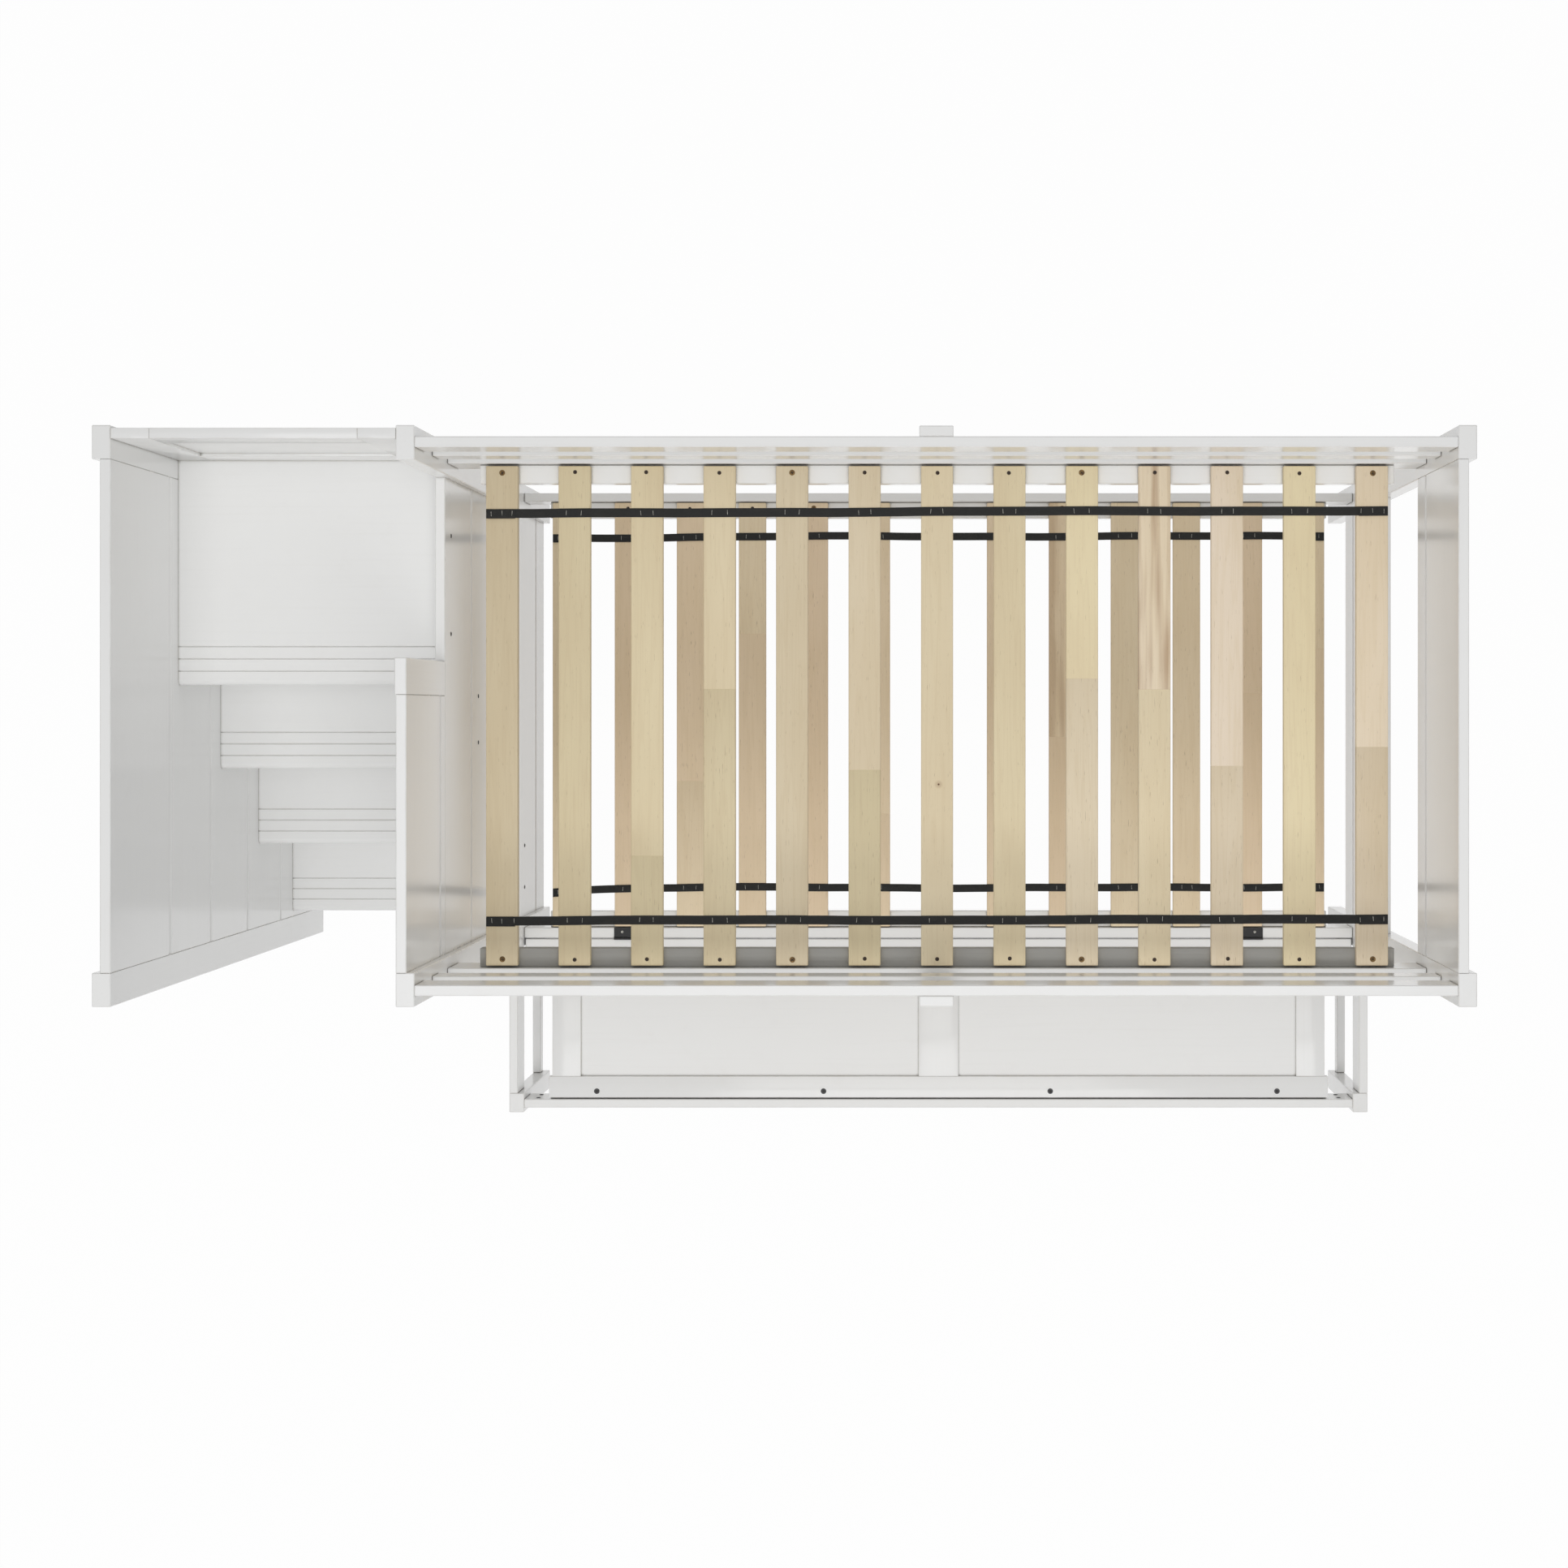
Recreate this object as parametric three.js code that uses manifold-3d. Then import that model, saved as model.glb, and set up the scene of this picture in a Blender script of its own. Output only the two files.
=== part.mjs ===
// A painted wooden bunk bed with a staircase at its left end. The lower bed is widened
// by a panelled deck flap in front of it, which folds up on two butt hinges.
//
// Millimetres. +X runs along the bed, away from the stairs, +Y towards the wall behind
// it and +Z up. Places are worked out from the middle of the bunk at floor level, and
// one move at the end puts the origin under the middle of the whole bed.

import * as THREE from "three";
import { ConvexGeometry } from "three/addons/geometries/ConvexGeometry.js";
import { mergeVertices } from "three/addons/utils/BufferGeometryUtils.js";
import Module from "manifold-3d";

// ---------------------------------------------------------------- driving dimensions

// Bunk frame
const BUNK_LENGTH = 2025; // over the posts
const BUNK_DEPTH = 1090; // over the posts
const BUNK_HEIGHT = 1650;
const POST_WIDTH = 35; // along the bed
const POST_DEPTH = 64; // across the bed
const BOARD = 20; // thickness of rails, walls and panels
const RAIL_SETBACK = 21; // from a post's outer face to the rail's outer face
const FLOOR_GAP = 3; // under the walls, so that the bed stands on its posts
const EASE = 1.5; // chamfer along the edges of boards and posts

// Guards of the upper bed
const TOP_RAIL = 90; // heights of the three rails
const MIDDLE_RAIL = 66;
const SIDE_RAIL = 120;
const RAIL_GAP = 76; // between the top rail and the middle one
const SIDE_RAIL_ABOVE_DECK = 12;
const CENTRE_STILE = 64; // width

// Slats, the same for both beds
const UPPER_DECK = 1320; // height of the slats' top faces
const LOWER_DECK = 395;
const SLAT_COUNT = 13;
const SLAT_WIDTH = 64;
const SLAT_THICKNESS = 18;
const SLAT_END_GAP = 4; // from a slat's end to the upper side rail
const UPPER_SLAT_MARGIN = 75; // from the posts to the first slat
const LOWER_SLAT_MARGIN = 67;
const SLAT_EASE = 2;
const LEDGER_WIDTH = 38;
const LEDGER_HEIGHT = 30;
const LEDGER_MARGIN = 60; // from the posts to the ledger's end
const STRAP_WIDTH = 18;
const STRAP_THICKNESS = 1.6;
const STRAP_INSET = 92; // from a slat's end to the middle of the strap
const LOWER_BACK_STRAP_INSET = 80;

// Walls and end panels
const PLANK = 287; // height of one plank of a wall
const WALL_HEIGHT = 1277; // the wall between the stairs and the bunk
const GROOVE_HALF = 8; // half the height of a seam's groove
const GROOVE_DEPTH = 3.5;
const NEWEL_WIDTH = 70;
const NEWEL_PROUD = 2.5; // outside the guard beside it
const ENTRY_WIDTH = 371; // the way in from the landing
const LEFT_GUARD_BOARD = 49; // the guard's lowest board
const RIGHT_GUARD_BOTTOM = 1232;
const RIGHT_GUARD_BOARD = 88;
const LOWER_END_BOTTOM = 284;
const LOWER_END_TOP = 800;
const LOWER_END_BOARD = 116;

// Stairs
const STAIR_WIDTH = 534; // clear, between its side wall and the bunk
const RISE = 306;
const RUN = 177;
const STEP_COUNT = 3; // below the landing
const LANDING_NOSE = 63; // y of the landing's front edge
const TREAD = 20; // thickness
const NOSING = 25; // overhang in front of the riser
const RISER = 15; // thickness
const TREAD_GROOVES = 3;
const TREAD_GROOVE_WIDTH = 3;
const TREAD_GROOVE_DEPTH = 1.5;
const TREAD_GROOVE_PITCH = 25;
const TREAD_GROOVE_FIRST = 28; // from the nose
const STAIR_BACK_SETBACK = 5; // behind the posts' outer faces
const STAIR_BACK_STILE = 72;
const STAIR_BACK_DROP = 60; // the panel's edge below the landing's top
const STAIR_BACK_LOW_RAIL = 92; // above the landing
const STAIR_BACK_RECESS = 6;

// Lower bed and its front frame
const LOWER_RAIL = 95; // height
const FRONT_RAIL = 24; // thickness of the rail that carries the hinges
const EXTENSION = 392; // from the bunk posts' front faces to the short posts' ones
const SHORT_POST_DEPTH = 45;
const FRAME_RAIL_SETBACK = 11; // behind the short posts' front faces
const STRETCHER_HEIGHT = 35;
const STRETCHER_BOTTOM = 15;
const FLAP_LEDGER = 20; // width and height

// Flap
const FLAP_WIDTH = 1822;
const FLAP_THICKNESS = 20;
const FLAP_RAIL_HEIGHT = 60; // the batten along its hinged edge
const FLAP_RAIL_THICKNESS = 24;
const FLAP_END_GAP = 3; // from the batten's ends to the posts
const FLAP_FRONT_GAP = 4;
const FLAP_END_STILE = 67;
const FLAP_CENTRE_STILE = 94;
const FLAP_FRONT_BORDER = 50;
const FLAP_FRONT_OVERHANG = 8; // of the front border, past the end stiles
const FLAP_BACK_BORDER = 50;
const FLAP_RECESS = 8;
const FLAP_SEAM = 3; // between the fixed rail and the batten
const SEAM_SETBACK = 20; // the fixed rail's front face behind the bunk posts' ones

// Butt hinges
const HINGE_WIDTH = 60;
const HINGE_OFFSET = 735; // from the middle of the bed
const LEAF_THICKNESS = 2;
const SWINGING_LEAF_THICKNESS = 1.6;
const SWINGING_LEAF_DEPTH = 30;
const KNUCKLE_RADIUS = 3;
const PIN_RADIUS = 1.5;
const MIDDLE_KNUCKLE = 20; // length
const HINGE_CLEARANCE = 0.3;
const ROUND_SIDES = 20;

// ------------------------------------------------------------------- worked-out places

const endX = BUNK_LENGTH / 2; // posts' outer faces
const postX = endX - POST_WIDTH; // posts' inner faces
const frontY = BUNK_DEPTH / 2;
const postY = frontY - POST_DEPTH;
const railOutY = frontY - RAIL_SETBACK;
const railInY = railOutY - BOARD;
const slatLength = 2 * (railInY - SLAT_END_GAP);
const upperSpan = 2 * (postX - UPPER_SLAT_MARGIN); // over the first and the last slat
const lowerSpan = 2 * (postX - LOWER_SLAT_MARGIN);

const wallOutX = -endX; // the wall between the stairs and the bunk
const wallInX = wallOutX + BOARD;
const newelBackY = postY - ENTRY_WIDTH;
const newelFrontY = newelBackY - NEWEL_WIDTH;

const stairRightX = wallOutX;
const stairLeftX = stairRightX - STAIR_WIDTH;
const stairPostX = stairLeftX - POST_WIDTH; // its outer face
const stairBackOutY = frontY - STAIR_BACK_SETBACK;
const stairBackInY = stairBackOutY - BOARD;
const landingTop = RISE * (STEP_COUNT + 1);

const seamY = -frontY + SEAM_SETBACK; // front face of the rail that carries the hinges
const frontRailInY = seamY + FRONT_RAIL;
const flapBackY = seamY - FLAP_SEAM;
const frameFrontY = -frontY - EXTENSION; // short posts' front faces
const shortPostBackY = frameFrontY + SHORT_POST_DEPTH;
const frameRailFrontY = frameFrontY + FRAME_RAIL_SETBACK;
const frameRailBackY = frameRailFrontY + BOARD;
const flapFrontY = frameRailBackY + FLAP_FRONT_GAP;
const flapPanelBackY = flapBackY - FLAP_RAIL_THICKNESS;

const pinY = seamY - FLAP_SEAM / 2;
const pinZ = LOWER_DECK + KNUCKLE_RADIUS + HINGE_CLEARANCE;

// ------------------------------------------------------------------------- materials

const paint = () =>
  new THREE.MeshStandardMaterial({ color: 0xe4e3e0, roughness: 0.28, metalness: 0 });
const slatWood = () =>
  new THREE.MeshStandardMaterial({ color: 0xd2c19a, roughness: 0.6, metalness: 0 });
const webbing = () =>
  new THREE.MeshStandardMaterial({ color: 0x262624, roughness: 0.85, metalness: 0 });
const blackSteel = () =>
  new THREE.MeshStandardMaterial({ color: 0x1c1c1c, roughness: 0.45, metalness: 0.6 });

// ------------------------------------------------------------------- shape functions

const wasm = await Module();
wasm.setup();
const MERGE_DISTANCE = 1e-4; // corners closer than this are one corner

// A closed three.js geometry as a solid that can be cut and joined.
function solid(geometry) {
  const bare = geometry.clone();
  bare.deleteAttribute("normal");
  bare.deleteAttribute("uv");
  const merged = mergeVertices(bare, MERGE_DISTANCE);
  const mesh = new wasm.Mesh({
    numProp: 3,
    vertProperties: new Float32Array(merged.attributes.position.array),
    triVerts: new Uint32Array(merged.index.array),
  });
  return new wasm.Manifold(mesh);
}

// A solid back as a three.js geometry with flat faces.
function surface(made) {
  const mesh = made.getMesh();
  const indexed = new THREE.BufferGeometry();
  indexed.setAttribute("position", new THREE.BufferAttribute(mesh.vertProperties, 3));
  indexed.setIndex(new THREE.BufferAttribute(mesh.triVerts, 1));
  const flat = indexed.toNonIndexed();
  flat.computeVertexNormals();
  return flat;
}

// A plain block between two corners.
function block([x0, x1], [y0, y1], [z0, z1]) {
  const box = new THREE.BoxGeometry(x1 - x0, y1 - y0, z1 - z0);
  return box.translate((x0 + x1) / 2, (y0 + y1) / 2, (z0 + z1) / 2);
}

// A block whose twelve edges are chamfered: the hull of three shrunken boxes.
function easedBlock([x0, x1], [y0, y1], [z0, z1], ease = EASE) {
  const middle = new THREE.Vector3((x0 + x1) / 2, (y0 + y1) / 2, (z0 + z1) / 2);
  const half = [(x1 - x0) / 2, (y1 - y0) / 2, (z1 - z0) / 2];
  const points = [];
  for (let full = 0; full < 3; full++) {
    const reach = half.map((size, axis) => (axis === full ? size : size - ease));
    for (const sx of [-1, 1])
      for (const sy of [-1, 1])
        for (const sz of [-1, 1])
          points.push(new THREE.Vector3(sx * reach[0], sy * reach[1], sz * reach[2]).add(middle));
  }
  return new ConvexGeometry(points);
}

// An outline in X and Z, carried along Y.
function alongY(outline, [y0, y1]) {
  const made = new THREE.ExtrudeGeometry(new THREE.Shape(outline), {
    depth: y1 - y0,
    bevelEnabled: false,
  });
  return made.rotateX(Math.PI / 2).translate(0, y1, 0);
}

// An outline in Y and Z, carried along X.
function alongX(outline, [x0, x1]) {
  const made = new THREE.ExtrudeGeometry(new THREE.Shape(outline), {
    depth: x1 - x0,
    bevelEnabled: false,
  });
  const turn = new THREE.Matrix4().set(0, 0, 1, x0, 1, 0, 0, 0, 0, 1, 0, 0, 0, 0, 0, 1);
  return made.applyMatrix4(turn);
}

// A round bar along X.
function barAlongX(radius, [x0, x1], y, z) {
  const bar = new THREE.CylinderGeometry(radius, radius, x1 - x0, ROUND_SIDES);
  return bar.rotateZ(Math.PI / 2).translate((x0 + x1) / 2, y, z);
}

// A wall board that stands across the bed, with a V groove at each seam on both faces.
function plankWall([x0, x1], ys, [z0, z1], seams) {
  const inner = seams.filter((z) => z > z0 + GROOVE_HALF && z < z1 - GROOVE_HALF);
  const up = [...inner].sort((a, b) => a - b);
  const outline = [new THREE.Vector2(x0 + EASE, z0), new THREE.Vector2(x1 - EASE, z0)];
  outline.push(new THREE.Vector2(x1, z0 + EASE));
  for (const z of up) outline.push(...grooveCorners(x1, -1, z, 1));
  outline.push(new THREE.Vector2(x1, z1 - EASE), new THREE.Vector2(x1 - EASE, z1));
  outline.push(new THREE.Vector2(x0 + EASE, z1), new THREE.Vector2(x0, z1 - EASE));
  for (const z of up.reverse()) outline.push(...grooveCorners(x0, 1, z, -1));
  outline.push(new THREE.Vector2(x0, z0 + EASE));
  return alongY(outline, ys);
}

// The three corners of a V groove in a face at x, in the order in which the outline runs.
function grooveCorners(x, inwards, z, order) {
  return [
    new THREE.Vector2(x, z - order * GROOVE_HALF),
    new THREE.Vector2(x + inwards * GROOVE_DEPTH, z),
    new THREE.Vector2(x, z + order * GROOVE_HALF),
  ];
}

// Heights of a wall's seams, one plank apart, down from its top.
function seamsBelow(top) {
  const seams = [];
  for (let z = top - PLANK; z > 0; z -= PLANK) seams.push(z);
  return seams;
}

// ------------------------------------------------------------------------- the group

const bed = new THREE.Group();

function add(name, geometry, material) {
  const mesh = new THREE.Mesh(geometry, material);
  mesh.name = name;
  bed.add(mesh);
}

function addPosts() {
  for (const [side, x] of [["left", -endX], ["right", postX]])
    for (const [place, y] of [["front", -frontY], ["back", postY]])
      add(
        `${place}_${side}_post`,
        easedBlock([x, x + POST_WIDTH], [y, y + POST_DEPTH], [0, BUNK_HEIGHT]),
        paint(),
      );
  for (const [place, y] of [["front", -frontY], ["back", postY]])
    add(
      `stair_${place}_post`,
      easedBlock([stairPostX, stairLeftX], [y, y + POST_DEPTH], [0, BUNK_HEIGHT]),
      paint(),
    );
  for (const [side, x] of [["left", -endX], ["right", postX]])
    add(
      `short_${side}_post`,
      easedBlock([x, x + POST_WIDTH], [frameFrontY, shortPostBackY], [0, LOWER_DECK]),
      paint(),
    );
}

// Three rails and an outer centre stile, in front of and behind the upper bed.
function addLongGuards() {
  const topBottom = BUNK_HEIGHT - TOP_RAIL;
  const middleTop = topBottom - RAIL_GAP;
  const sideTop = UPPER_DECK + SIDE_RAIL_ABOVE_DECK;
  const rails = [
    ["top_rail", topBottom, BUNK_HEIGHT],
    ["middle_rail", middleTop - MIDDLE_RAIL, middleTop],
    ["side_rail", sideTop - SIDE_RAIL, sideTop],
  ];
  for (const [place, face] of [["front", -1], ["back", 1]]) {
    const across = face > 0 ? [railInY, railOutY] : [-railOutY, -railInY];
    const outside = face > 0 ? [railOutY, railOutY + BOARD] : [-railOutY - BOARD, -railOutY];
    for (const [name, z0, z1] of rails)
      add(`${place}_${name}`, easedBlock([-postX, postX], across, [z0, z1]), paint());
    add(
      `${place}_centre_stile`,
      easedBlock([-CENTRE_STILE / 2, CENTRE_STILE / 2], outside, [sideTop - SIDE_RAIL, BUNK_HEIGHT]),
      paint(),
    );
  }
}

// The strips that carry the slats' ends, along the inside of the side rails.
function addLedgers(level, deck, frontInY) {
  const along = [-postX + LEDGER_MARGIN, postX - LEDGER_MARGIN];
  const up = [deck - SLAT_THICKNESS - LEDGER_HEIGHT, deck - SLAT_THICKNESS];
  add(`${level}_back_ledger`, easedBlock(along, [railInY - LEDGER_WIDTH, railInY], up), paint());
  add(`${level}_front_ledger`, easedBlock(along, [frontInY, frontInY + LEDGER_WIDTH], up), paint());
}

function slatBlock(index, span, deck, middleY) {
  const pitch = (span - SLAT_WIDTH) / (SLAT_COUNT - 1);
  const x = -span / 2 + index * pitch;
  const across = [middleY - slatLength / 2, middleY + slatLength / 2];
  return easedBlock([x, x + SLAT_WIDTH], across, [deck - SLAT_THICKNESS, deck], SLAT_EASE);
}

function strapBlock(y, span, deck, sunk) {
  const along = [-span / 2 + SLAT_EASE, span / 2 - SLAT_EASE];
  const across = [y - STRAP_WIDTH / 2, y + STRAP_WIDTH / 2];
  return block(along, across, [deck - sunk, deck + STRAP_THICKNESS]);
}

function addUpperDeck() {
  for (let index = 0; index < SLAT_COUNT; index++)
    add(`upper_slat_${index + 1}`, slatBlock(index, upperSpan, UPPER_DECK, 0), slatWood());
  const strapY = slatLength / 2 - STRAP_INSET;
  add("upper_front_strap", strapBlock(-strapY, upperSpan, UPPER_DECK, 0), webbing());
  add("upper_back_strap", strapBlock(strapY, upperSpan, UPPER_DECK, 0), webbing());
}

// The lower slats and the two straps they are stapled to, as the one roll they come in.
function addLowerRoll() {
  const middleY = (frontRailInY + railInY) / 2;
  const sunk = SLAT_EASE;
  const frontStrapY = middleY - slatLength / 2 + STRAP_INSET;
  const backStrapY = middleY + slatLength / 2 - LOWER_BACK_STRAP_INSET;
  let roll = solid(strapBlock(frontStrapY, lowerSpan, LOWER_DECK, sunk));
  roll = roll.add(solid(strapBlock(backStrapY, lowerSpan, LOWER_DECK, sunk)));
  for (let index = 0; index < SLAT_COUNT; index++)
    roll = roll.add(solid(slatBlock(index, lowerSpan, LOWER_DECK, middleY)));
  add("lower_slat_roll", surface(roll), slatWood());
}

function addEndPanels() {
  const across = [-postY, postY];
  const rightX = [postX, postX + BOARD];
  add(
    "right_end_guard",
    plankWall(rightX, across, [RIGHT_GUARD_BOTTOM, BUNK_HEIGHT], [
      RIGHT_GUARD_BOTTOM + RIGHT_GUARD_BOARD,
    ]),
    paint(),
  );
  add(
    "lower_end_panel",
    plankWall(rightX, across, [LOWER_END_BOTTOM, LOWER_END_TOP], [
      LOWER_END_BOTTOM + LOWER_END_BOARD,
    ]),
    paint(),
  );
}

// The wall between the stairs and the beds, the guard on it and the newel by the way in.
function addLeftWall() {
  const wallX = [wallOutX, wallInX];
  const guardSeam = WALL_HEIGHT + LEFT_GUARD_BOARD;
  add(
    "left_wall",
    plankWall(wallX, [-postY, postY], [FLOOR_GAP, WALL_HEIGHT], seamsBelow(WALL_HEIGHT)),
    paint(),
  );
  add(
    "left_guard",
    plankWall(wallX, [-postY, newelFrontY], [WALL_HEIGHT, BUNK_HEIGHT], [guardSeam]),
    paint(),
  );
  add(
    "newel",
    easedBlock(
      [wallOutX - NEWEL_PROUD, wallInX],
      [newelFrontY, newelBackY],
      [WALL_HEIGHT, BUNK_HEIGHT],
    ),
    paint(),
  );
}

function addStairWalls() {
  const seams = [WALL_HEIGHT, ...seamsBelow(WALL_HEIGHT)];
  add(
    "stair_side_wall",
    plankWall([stairLeftX - BOARD, stairLeftX], [-postY, postY], [FLOOR_GAP, BUNK_HEIGHT], seams),
    paint(),
  );
  const bottom = landingTop - STAIR_BACK_DROP;
  const board = [stairBackInY, stairBackOutY];
  const recessX = [stairLeftX + STAIR_BACK_STILE, stairRightX - STAIR_BACK_STILE];
  const recessZ = [landingTop + STAIR_BACK_LOW_RAIL, BUNK_HEIGHT - TOP_RAIL];
  let panel = solid(easedBlock([stairLeftX, stairRightX], board, [bottom, BUNK_HEIGHT]));
  for (const y of [stairBackInY, stairBackOutY]) {
    const cut = [y - STAIR_BACK_RECESS, y + STAIR_BACK_RECESS];
    panel = panel.subtract(solid(block(recessX, cut, recessZ)));
  }
  add("stair_back_panel", surface(panel), paint());
}

// The side view of one step: a grooved tread with a round nose, and the riser under it.
function stepOutline(noseY, backY, top, riserFoot) {
  const round = TREAD / 2;
  const outline = [];
  const stops = 8;
  for (let i = 0; i <= stops; i++) {
    const angle = Math.PI / 2 + (Math.PI * i) / stops;
    outline.push(
      new THREE.Vector2(
        noseY + round + round * Math.cos(angle),
        top - round + round * Math.sin(angle),
      ),
    );
  }
  const riserY = noseY + NOSING;
  outline.push(
    new THREE.Vector2(riserY, top - TREAD),
    new THREE.Vector2(riserY, riserFoot),
    new THREE.Vector2(riserY + RISER, riserFoot),
    new THREE.Vector2(riserY + RISER, top - TREAD),
    new THREE.Vector2(backY, top - TREAD),
    new THREE.Vector2(backY, top),
  );
  for (let i = TREAD_GROOVES - 1; i >= 0; i--) {
    const y = noseY + TREAD_GROOVE_FIRST + i * TREAD_GROOVE_PITCH;
    const half = TREAD_GROOVE_WIDTH / 2;
    outline.push(
      new THREE.Vector2(y + half, top),
      new THREE.Vector2(y, top - TREAD_GROOVE_DEPTH),
      new THREE.Vector2(y - half, top),
    );
  }
  return outline;
}

function addSteps() {
  const along = [stairLeftX, stairRightX];
  const depth = RUN + NOSING + RISER;
  for (let step = 1; step <= STEP_COUNT; step++) {
    const noseY = LANDING_NOSE - RUN * (STEP_COUNT + 1 - step);
    const foot = step === 1 ? FLOOR_GAP : RISE * (step - 1);
    add(
      `stair_step_${step}`,
      alongX(stepOutline(noseY, noseY + depth, RISE * step, foot), along),
      paint(),
    );
  }
  add(
    "stair_landing",
    alongX(stepOutline(LANDING_NOSE, stairBackInY, landingTop, landingTop - RISE), along),
    paint(),
  );
}

function addLowerRails() {
  const along = [-postX, postX];
  const up = [LOWER_DECK - LOWER_RAIL, LOWER_DECK];
  add("lower_back_rail", easedBlock(along, [railInY, railOutY], up), paint());
  add("lower_front_rail", easedBlock(along, [seamY, frontRailInY], up), paint());
}

// The low frame in front: a rail with a strip under the flap's edge, and two side frames.
function addFrontFrame() {
  const up = [LOWER_DECK - LOWER_RAIL, LOWER_DECK];
  const rail = easedBlock([-postX, postX], [frameRailFrontY, frameRailBackY], up);
  const joint = BOARD / 2; // how far the strip's block reaches into the rail to join it
  const stripTop = LOWER_DECK - FLAP_THICKNESS;
  const strip = block(
    [-postX + LEDGER_MARGIN, postX - LEDGER_MARGIN],
    [frameRailBackY - joint, frameRailBackY + FLAP_LEDGER],
    [stripTop - FLAP_LEDGER, stripTop],
  );
  add("front_frame_rail", surface(solid(rail).add(solid(strip))), paint());
  const reach = [shortPostBackY, -frontY];
  for (const [side, x] of [["left", -endX], ["right", endX - BOARD]]) {
    add(`${side}_frame_rail`, easedBlock([x, x + BOARD], reach, up), paint());
    add(
      `${side}_stretcher`,
      easedBlock([x, x + BOARD], reach, [STRETCHER_BOTTOM, STRETCHER_BOTTOM + STRETCHER_HEIGHT]),
      paint(),
    );
  }
}

function addFlap() {
  const halfBatten = postX - FLAP_END_GAP;
  add(
    "flap_batten",
    easedBlock([-halfBatten, halfBatten], [flapPanelBackY, flapBackY], [
      LOWER_DECK - FLAP_RAIL_HEIGHT,
      LOWER_DECK,
    ]),
    paint(),
  );
  const half = FLAP_WIDTH / 2;
  const thick = [LOWER_DECK - FLAP_THICKNESS, LOWER_DECK];
  const wide = half + FLAP_FRONT_OVERHANG;
  const border = [flapFrontY, flapFrontY + FLAP_FRONT_BORDER];
  let panel = solid(easedBlock([-half, half], [flapFrontY, flapPanelBackY], thick));
  panel = panel.add(solid(easedBlock([-wide, wide], border, thick)));
  const recessY = [flapFrontY + FLAP_FRONT_BORDER, flapPanelBackY - FLAP_BACK_BORDER];
  const recessZ = [LOWER_DECK - FLAP_RECESS, LOWER_DECK + FLAP_RECESS];
  const innerX = FLAP_CENTRE_STILE / 2;
  const outerX = half - FLAP_END_STILE;
  for (const recessX of [[-outerX, -innerX], [innerX, outerX]])
    panel = panel.subtract(solid(block(recessX, recessY, recessZ)));
  add("flap_panel", surface(panel), paint());
}

// One butt hinge: a leaf on the fixed rail with two knuckles and the pin, and a leaf on
// the flap's batten with the middle knuckle, which turns round the pin.
function addHinge(side, middleX) {
  const half = HINGE_WIDTH / 2;
  const knuckleHalf = MIDDLE_KNUCKLE / 2;
  const along = (from, to) => [middleX + from, middleX + to];
  const plateX = along(-half, half);
  const clearX = along(-knuckleHalf - HINGE_CLEARANCE, knuckleHalf + HINGE_CLEARANCE);

  let fixed = solid(
    block(plateX, [pinY + PIN_RADIUS, frontRailInY], [LOWER_DECK, LOWER_DECK + LEAF_THICKNESS]),
  );
  fixed = fixed.add(solid(barAlongX(KNUCKLE_RADIUS, plateX, pinY, pinZ)));
  const clearRadius = KNUCKLE_RADIUS + HINGE_CLEARANCE;
  const clearZ = [LOWER_DECK - LEAF_THICKNESS, pinZ + clearRadius];
  fixed = fixed.subtract(solid(block(clearX, [pinY - clearRadius, pinY + clearRadius], clearZ)));
  fixed = fixed.add(solid(barAlongX(PIN_RADIUS, plateX, pinY, pinZ)));
  add(`${side}_fixed_leaf`, surface(fixed), blackSteel());

  const leafY = [flapBackY, flapBackY + SWINGING_LEAF_THICKNESS];
  const leafTop = LOWER_DECK - HINGE_CLEARANCE;
  const kneeX = along(-knuckleHalf, knuckleHalf);
  let swinging = solid(block(plateX, leafY, [leafTop - SWINGING_LEAF_DEPTH, leafTop]));
  swinging = swinging.add(solid(block(kneeX, leafY, [leafTop - LEAF_THICKNESS, pinZ])));
  swinging = swinging.add(solid(barAlongX(KNUCKLE_RADIUS, kneeX, pinY, pinZ)));
  const bore = barAlongX(PIN_RADIUS + HINGE_CLEARANCE, plateX, pinY, pinZ);
  add(`${side}_swinging_leaf`, surface(swinging.subtract(solid(bore))), blackSteel());
}

addPosts();
addLongGuards();
addLedgers("upper", UPPER_DECK, -railInY);
addUpperDeck();
addEndPanels();
addLeftWall();
addStairWalls();
addSteps();
addLowerRails();
addLedgers("lower", LOWER_DECK, frontRailInY);
addLowerRoll();
addFrontFrame();
addFlap();
addHinge("left_hinge", -HINGE_OFFSET);
addHinge("right_hinge", HINGE_OFFSET);

// The origin goes to the floor under the middle of the whole bed.
bed.position.set(-(stairPostX + endX) / 2, -(frameFrontY + frontY) / 2, 0);

export default bed;
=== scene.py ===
import math

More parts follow.
